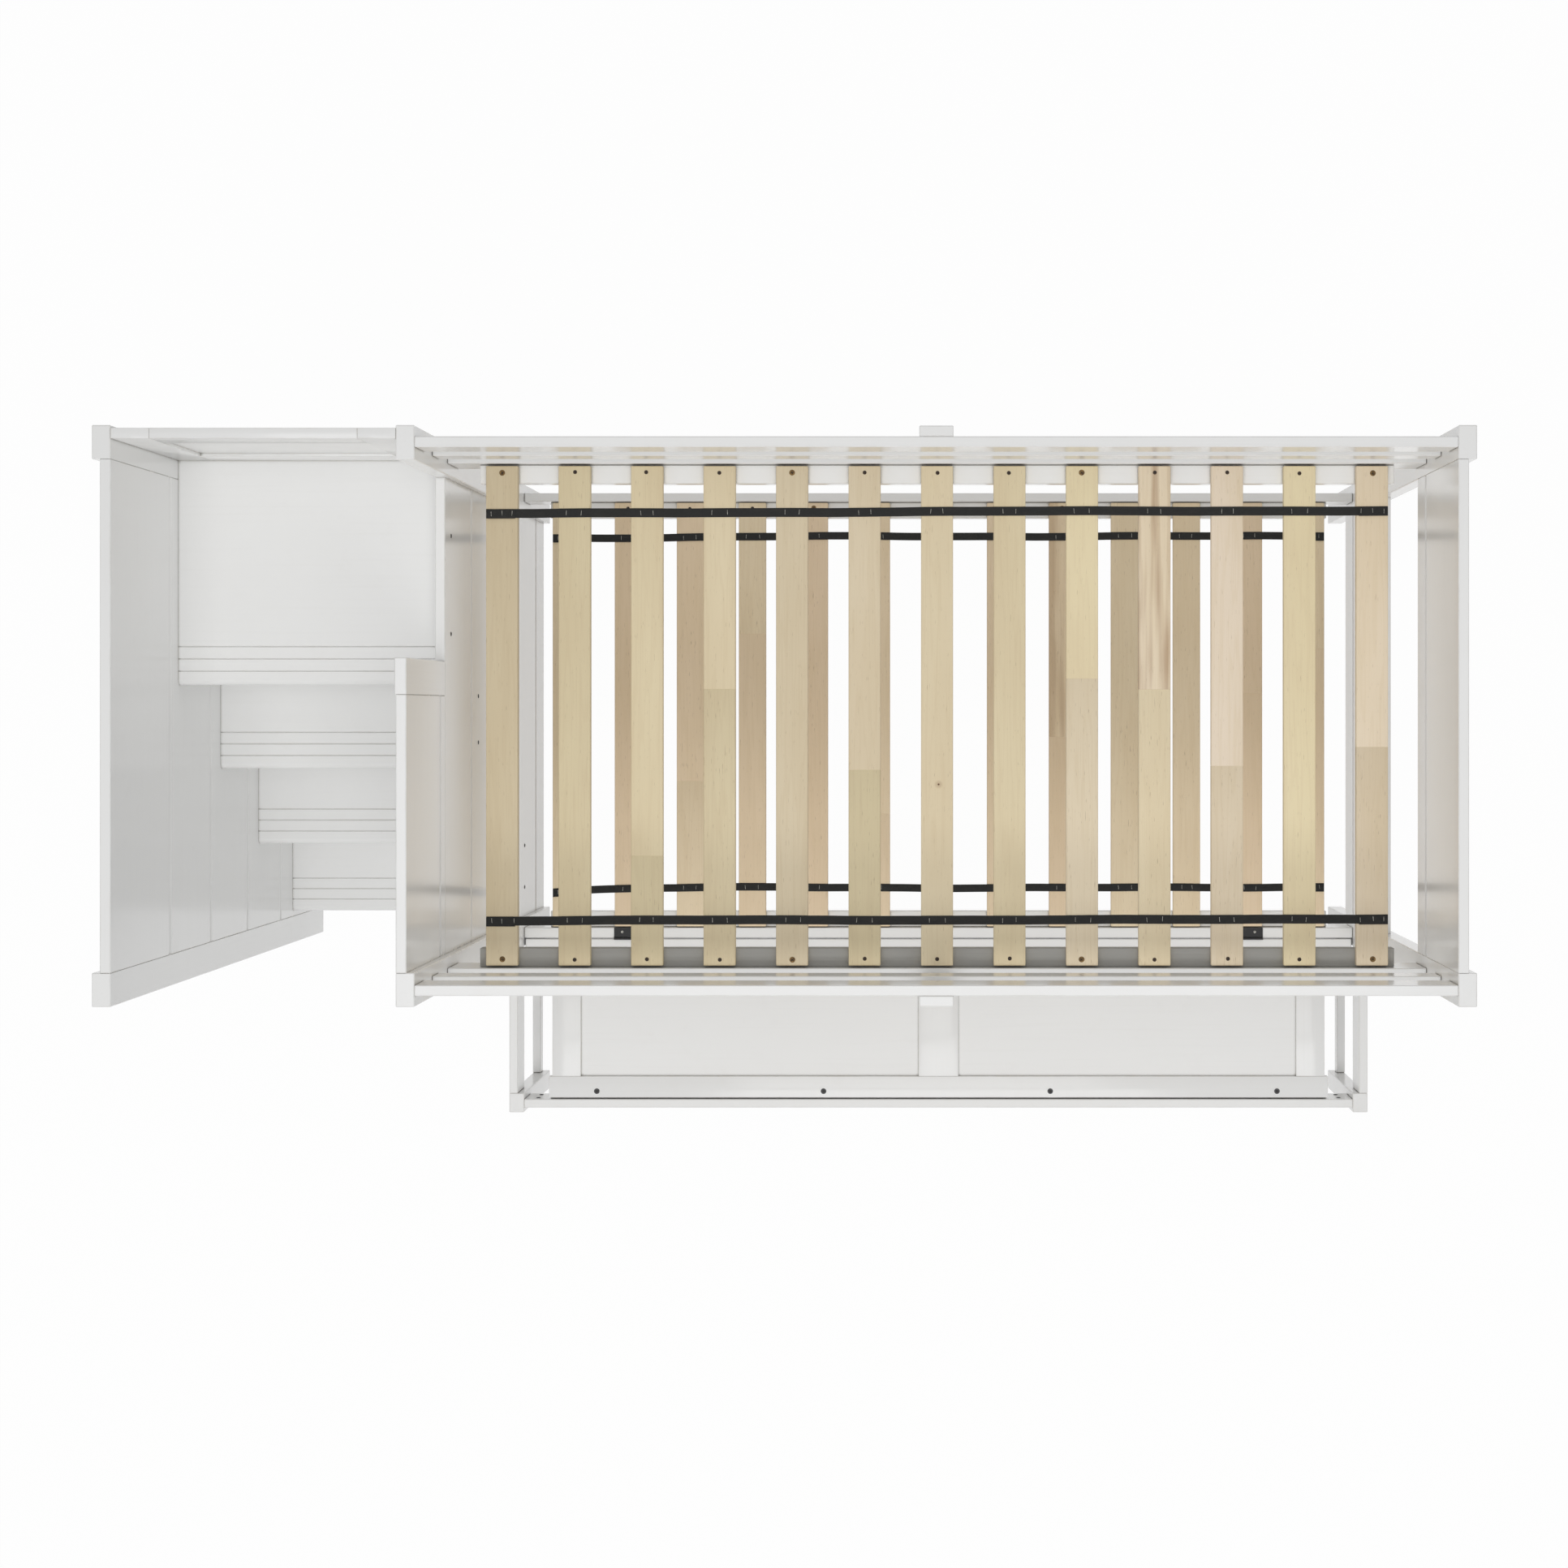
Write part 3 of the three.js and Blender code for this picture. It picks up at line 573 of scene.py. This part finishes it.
def make_strap(name, middle_y, slats, top, replaces, slack, slope, pulled):
    """One strap with a doubled end on the first and last slat, and the staples that hold it
    to each slat: two on most, three on the end ones. Seen from above its line is a sum of
    slow sine waves as deep as the slack, on a slope over its length, and its first end is
    pulled aside by a distance that dies away along it."""
    start = slats[0][0][0] + 1 * MM
    end = slats[-1][1][0] - 1 * MM
    waves = [(slack * a, p, dice.uniform(0, 6.28)) for a, p in ((1, 3.1), (0.7, 7.3), (0.4, 19.0))]

    def line(x):
        waved = sum(size * np.sin(x * pitch + phase) for size, pitch, phase in waves)
        sloped = slope * ((x - start) / (end - start) - 0.5)
        return middle_y + waved + sloped + pulled * np.exp((start - x) / PULL_FADES_OVER)

    strap = Piece()
    rings, numbers = strap_rings(start, end, line, slats, top, STRAP_SAG)
    strap.add(rings, **numbers)
    for from_x, to_x in ((start, start + STRAP_FOLD), (end - STRAP_FOLD, end)):
        shift = float(dice.uniform(-1.8, -1.0)) * MM
        rings, numbers = strap_rings(from_x, to_x, line, slats, top, 0, STRAP_THICKNESS * 0.9)
        rings[..., 1] += shift
        strap.add(rings, **numbers)
    strap.make(name, "frame", [webbing_finish], replaces)

    staples = Piece()
    for i, (low, high) in enumerate(slats):
        last = i in (0, SLAT_COUNT - 1)
        for share in (0.16, 0.5, 0.84) if last else (0.28, 0.72):
            x = low[0] + (share + dice.uniform(-0.05, 0.05)) * (high[0] - low[0])
            y = float(line(x) + dice.uniform(-1.2, 1.2) * MM)
            z = top + STRAP_THICKNESS * (1.9 if last else 1)
            middle = np.array([x, y, z])
            low_corner = middle - STAPLE_HALF_SIZE
            high_corner = middle + STAPLE_HALF_SIZE
            rings = bar_rings(1, low_corner, high_corner, STAPLE_EDGE, 1)
            lean = float(dice.uniform(-0.12, 0.12))
            rings[..., 0] += (rings[..., 1] - y) * lean
            staples.add(rings)
    staples.make(f"{name}_staples", "frame", [staple_finish])


upper_top = upper_boxes[0][1].z
for place in ("front", "back"):
    low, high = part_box(f"upper_{place}_strap")
    make_strap(
        f"upper_{place}_webbing",
        (low.y + high.y) / 2,
        upper_boxes,
        upper_top,
        [f"upper_{place}_strap"],
        0.8 * MM,
        5 * MM,
        0,
    )
for place, y, slope, pulled in (
    ("front", roll_low.y + LOWER_FRONT_STRAP_INSET, 4 * MM, -9 * MM),
    ("back", roll_high.y - LOWER_BACK_STRAP_INSET, 7 * MM, 0),
):
    make_strap(f"lower_{place}_webbing", y, lower_boxes, lower_top, (), 1.5 * MM, slope, pulled)


# -------------------------------------------------------------------- panels in frames


def framed_panel(name, node, body, across, up, frame_boards, fields, thickness_axis, recess):
    """A frame of boards with thin fields let into it. Each board is its start and end across
    and up, measured from the node's corner with the lowest numbers, and the axis that it
    runs along. The fields reach into the boards by a tongue."""
    low, high = (np.array(corner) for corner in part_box(node))
    tongue = 4 * MM
    piece = Piece()
    for a0, a1, b0, b1, axis in frame_boards:
        start = low.copy()
        end = high.copy()
        start[across] = low[across] + a0
        end[across] = low[across] + a1
        start[up] = low[up] + b0
        end[up] = low[up] + b1
        piece.add(bar_rings(axis, start, end, 0.9 * MM, 2), finish=0 if axis == across else 1)
    for a0, a1, b0, b1 in fields:
        start = low.copy()
        end = high.copy()
        start[across] = low[across] + a0 - tongue
        end[across] = low[across] + a1 + tongue
        start[up] = low[up] + b0 - tongue
        end[up] = low[up] + b1 + tongue
        start[thickness_axis] += recess
        end[thickness_axis] -= recess
        piece.add(bar_rings(across, start, end, 0.4 * MM, 1), finish=0)
    finishes = [paint_along[across], paint_along[up]]
    return piece.make(name, body, finishes, [node])


# The flap: two long rails, an end stile at each end and one in the middle between them.
FLAP_END_STILE = 67 * MM
FLAP_CENTRE_STILE = 94 * MM
FLAP_BORDER = 50 * MM
FLAP_RECESS = 8 * MM
FLAP_OVERHANG = 8 * MM  # of the front rail past the end stiles
flap_low, flap_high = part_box("flap_panel")
length = flap_high.x - flap_low.x
depth = flap_high.y - flap_low.y
centre = length / 2
ends = (FLAP_OVERHANG, length - FLAP_OVERHANG)
inner = (centre - FLAP_CENTRE_STILE / 2, centre + FLAP_CENTRE_STILE / 2)
outer = (ends[0] + FLAP_END_STILE, ends[1] - FLAP_END_STILE)
between = (FLAP_BORDER, depth - FLAP_BORDER)
framed_panel(
    "flap_framed_panel",
    "flap_panel",
    "flap",
    0,
    1,
    [
        (0, length, 0, FLAP_BORDER, 0),
        (*ends, depth - FLAP_BORDER, depth, 0),
        (ends[0], outer[0], *between, 1),
        (outer[1], ends[1], *between, 1),
        (*inner, *between, 1),
    ],
    [
        (outer[0], inner[0], *between),
        (inner[1], outer[1], *between),
    ],
    2,
    FLAP_RECESS,
)

# The panel behind the landing: two full stiles, a top rail and a wide low rail.
BACK_STILE = 72 * MM
BACK_TOP_RAIL = 90 * MM
BACK_LOW_RAIL = 152 * MM
BACK_RECESS = 6 * MM
back_low, back_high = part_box("stair_back_panel")
width = back_high.x - back_low.x
height = back_high.z - back_low.z
framed_panel(
    "stair_back_framed_panel",
    "stair_back_panel",
    "frame",
    0,
    2,
    [
        (0, BACK_STILE, 0, height, 2),
        (width - BACK_STILE, width, 0, height, 2),
        (BACK_STILE, width - BACK_STILE, height - BACK_TOP_RAIL, height, 0),
        (BACK_STILE, width - BACK_STILE, 0, BACK_LOW_RAIL, 0),
    ],
    [(BACK_STILE, width - BACK_STILE, BACK_LOW_RAIL, height - BACK_TOP_RAIL)],
    1,
    BACK_RECESS,
)


# ----------------------------------------------------------------------------- screws

SCREW_FROM_END = 13.5 * MM
LARGE_SCREW_RADIUS = 5.8 * MM
SMALL_SCREW_RADIUS = 4.0 * MM
SCREW_SCATTER = 1.5  # in millimetres


def make_slat_screws(name, slats):
    """A screw near each end of each slat. Every fourth slat has larger, brighter ones."""
    screws = Piece()
    for i, (low, high) in enumerate(slats):
        large = i % 4 == 0
        for y in (low[1] + SCREW_FROM_END, high[1] - SCREW_FROM_END):
            x = (low[0] + high[0]) / 2 + float(dice.uniform(-SCREW_SCATTER, SCREW_SCATTER)) * MM
            y += float(dice.uniform(-SCREW_SCATTER, SCREW_SCATTER)) * MM
            radius = LARGE_SCREW_RADIUS if large else SMALL_SCREW_RADIUS
            turn = float(dice.uniform(0, 1.57))
            rings, numbers = head_rings((x, y, high[2]), 2, 1, radius, "cross", turn)
            screws.add(rings, 0 if large else 1, **numbers)
    screws.make(name, "frame", [brass_finish, dark_finish])


make_slat_screws("upper_slat_screws", upper_boxes)
make_slat_screws("lower_slat_screws", lower_boxes)

# Four bolt heads along the flap's front rail.
FLAP_BOLT_SPACING = 535 * MM
FLAP_BOLT_FROM_EDGE = 15 * MM
FLAP_BOLT_SHIFT = -3.7 * MM
FLAP_BOLT_RADIUS = 6.5 * MM
flap_bolts = Piece()
for step in (-1.5, -0.5, 0.5, 1.5):
    place = (
        (flap_low.x + flap_high.x) / 2 + FLAP_BOLT_SHIFT + step * FLAP_BOLT_SPACING,
        flap_low.y + FLAP_BOLT_FROM_EDGE,
        flap_high.z,
    )
    rings, numbers = head_rings(place, 2, 1, FLAP_BOLT_RADIUS, "hexagon", 0.3 * step)
    flap_bolts.add(rings, **numbers)
flap_bolts.make("flap_bolts", "flap", [bolt_finish])

# Two screws in each hinge's fixed leaf, measured from its outer and its inner edge.
LEAF_THICKNESS = 2 * MM
HINGE_SCREW_FROM_OUTER = 19 * MM
HINGE_SCREW_FROM_INNER = 9 * MM
HINGE_SCREW_FROM_BACK = 10 * MM
HINGE_SCREW_RADIUS = 2.8 * MM
HINGE_SCREW_RISE = 0.25 * MM
hinge_screws = Piece()
leaf_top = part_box("lower_front_rail")[1].z + LEAF_THICKNESS
for side, outward in (("left", -1), ("right", 1)):
    low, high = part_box(f"{side}_hinge_fixed_leaf")
    outer_edge, inner_edge = (low.x, high.x) if side == "left" else (high.x, low.x)
    near_outer = outer_edge - outward * HINGE_SCREW_FROM_OUTER
    near_inner = inner_edge + outward * HINGE_SCREW_FROM_INNER
    for x in (near_outer, near_inner):
        place = (x, high.y - HINGE_SCREW_FROM_BACK, leaf_top)
        rings, numbers = head_rings(place, 2, 1, HINGE_SCREW_RADIUS, "cross", x, HINGE_SCREW_RISE)
        hinge_screws.add(rings, **numbers)
hinge_screws.make("hinge_screws", "frame", [staple_finish])

# Two bolts fix the landing and each tread through the wall between the stairs and the bed.
# Their places are measured from the board's front edge and from its top.
TREAD_BOLT_PLACES = {
    "stair_landing": (104 * MM, 304 * MM),
    "stair_step_3": (56 * MM, 156 * MM),
    "stair_step_2": (56 * MM, 156 * MM),
    "stair_step_1": (56 * MM, 156 * MM),
}
TREAD_BOLT_FROM_TOP = 10 * MM
TREAD_BOLT_RADIUS = 4.5 * MM
tread_bolts = Piece()
wall_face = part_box("left_wall")[1].x
for node, places in TREAD_BOLT_PLACES.items():
    low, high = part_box(node)
    for away in places:
        place = (wall_face, low.y + away, high.z - TREAD_BOLT_FROM_TOP)
        rings, numbers = head_rings(place, 0, 1, TREAD_BOLT_RADIUS, "hexagon", 0.0)
        tread_bolts.add(rings, **numbers)
tread_bolts.make("tread_bolts", "frame", [bolt_finish])

# Two bolts near each end of the low front rail, on its inner face.
RAIL_THICKNESS = 20 * MM
RAIL_BOLT_FROM_END = 30 * MM
RAIL_BOLT_FROM_EDGE = 24 * MM
RAIL_BOLT_RADIUS = 5 * MM
rail_bolts = Piece()
low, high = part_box("front_frame_rail")
rail_inner = low.y + RAIL_THICKNESS
for x in (low.x + RAIL_BOLT_FROM_END, high.x - RAIL_BOLT_FROM_END):
    for z in (high.z - RAIL_BOLT_FROM_EDGE, low.z + RAIL_BOLT_FROM_EDGE):
        rings, numbers = head_rings((x, rail_inner, z), 1, 1, RAIL_BOLT_RADIUS, "hexagon", 0.0)
        rail_bolts.add(rings, **numbers)
rail_bolts.make("rail_bolts", "frame", [bolt_finish])


# ------------------------------------------------------------- floor, light and camera


def seen_directly(finish):
    """1 for what the camera sees, straight, in a gloss or through glass, and 0 for the rays
    that only light things."""
    rays = ("Is Camera Ray", "Is Glossy Ray", "Is Transmission Ray")
    camera, gloss, clear = (finish.node("ShaderNodeLightPath", output=ray) for ray in rays)
    return finish.maths("MAXIMUM", camera, finish.maths("MAXIMUM", gloss, clear))


PLAIN_SHARE = 0.97
SKY_LIGHT = 0.44


def pale_floor():
    """Seen directly, the floor is nearly all plain white, with a little of a lit surface
    left for the shadow. Otherwise it is a pale floor."""
    finish = Finish(bpy.data.materials.new("pale_floor"))
    share = seen_directly(finish) * PLAIN_SHARE
    lit = finish.node("ShaderNodeBsdfDiffuse", None, {"Color": colour(240, 240, 240)})
    white = finish.node("ShaderNodeEmission", None, {"Color": (1, 1, 1, 1), "Strength": 1.0})
    both = finish.node("ShaderNodeMixShader", None, {0: share, 1: lit, 2: white})
    finish.node("ShaderNodeOutputMaterial", None, {"Surface": both})
    return finish.owner


def studio_world():
    """A soft even light from all round, which is plain white where it is seen directly."""
    finish = Finish(bpy.data.worlds.new("studio"))
    strength = seen_directly(finish) * (1 - SKY_LIGHT) + SKY_LIGHT
    inputs = {"Color": (1, 1, 1, 1), "Strength": strength}
    sky = finish.node("ShaderNodeBackground", None, inputs)
    finish.node("ShaderNodeOutputWorld", None, {"Surface": sky})
    return finish.owner


FLOOR_REACH = 30.0
FLOOR_DROP = 0.5 * MM
floor_mesh = bpy.data.meshes.new("floor")
floor_corners = [
    (-FLOOR_REACH, -FLOOR_REACH, -FLOOR_DROP),
    (FLOOR_REACH, -FLOOR_REACH, -FLOOR_DROP),
    (FLOOR_REACH, FLOOR_REACH, -FLOOR_DROP),
    (-FLOOR_REACH, FLOOR_REACH, -FLOOR_DROP),
]
floor_mesh.from_pydata(floor_corners, [], [(0, 1, 2, 3)])
floor_mesh.materials.append(pale_floor())
floor = bpy.data.objects.new("floor", floor_mesh)
bpy.context.scene.collection.objects.link(floor)

scene = bpy.context.scene
scene.world = studio_world()


def lamp(name, place, aim, width, depth, power):
    """A soft box at a place, facing another place."""
    light = bpy.data.lights.new(name, "AREA")
    light.shape = "RECTANGLE"
    light.size = width
    light.size_y = depth
    light.energy = power
    made = bpy.data.objects.new(name, light)
    made.location = place
    direction = np.array(aim) - np.array(place)
    flat = math.hypot(direction[0], direction[1])
    tip = math.atan2(flat, -direction[2])
    turn = math.atan2(-direction[0], direction[1])
    made.rotation_euler = (tip, 0, turn)
    made.visible_camera = False
    bpy.context.scene.collection.objects.link(made)


lamp("overhead", (0.0, -0.5, 8.5), (0.0, -0.1, 0), 5.0, 3.5, 90)
lamp("from_the_front", (0.3, -3.7, 7.2), (0.2, 0.0, 0.8), 5.5, 2.6, 118)

camera_data = bpy.data.cameras.new("camera")
camera_data.lens = 59.1
camera_data.sensor_width = 36
camera_data.shift_x = -0.1035
camera_data.shift_y = -0.046
camera = bpy.data.objects.new("camera", camera_data)
camera.location = (0.303, 0.204, 6.469)
bpy.context.scene.collection.objects.link(camera)
scene.camera = camera
scene.view_settings.view_transform = "Standard"
